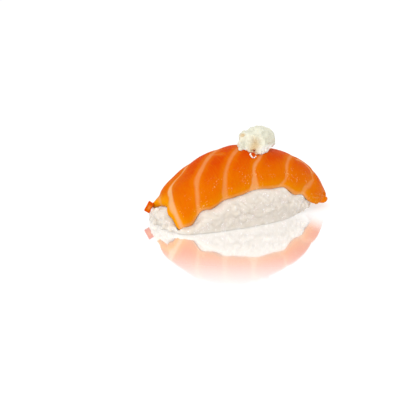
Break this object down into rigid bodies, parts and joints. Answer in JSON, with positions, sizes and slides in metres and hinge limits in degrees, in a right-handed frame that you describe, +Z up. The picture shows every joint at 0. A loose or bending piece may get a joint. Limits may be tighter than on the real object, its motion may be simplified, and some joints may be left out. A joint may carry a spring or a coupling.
{
  "type": "salmon nigiri",
  "caption": "Hand-pressed oval block of sushi rice under an arched slice of raw salmon, with a lump of soft white cheese on its crown.",
  "frame": {"origin": "on the surface that it rests on, under the middle of the rice block", "axes": "+X along the block to the end where the slice reaches past the rice, +Z up, -Y the side where the slice's hem rises highest"},
  "size_m": [0.0748, 0.0352, 0.0348],
  "materials": {
    "rice": "cooked short-grain rice, moist, soft white",
    "salmon": "raw salmon, moist, with pale fat lines",
    "cheese": "soft fresh cheese, torn and crumbly"
  },
  "bodies": {
    "root": {"rice": "rice", "salmon_slice": "salmon", "cream_cheese": "cheese"}
  },
  "joints": []
}
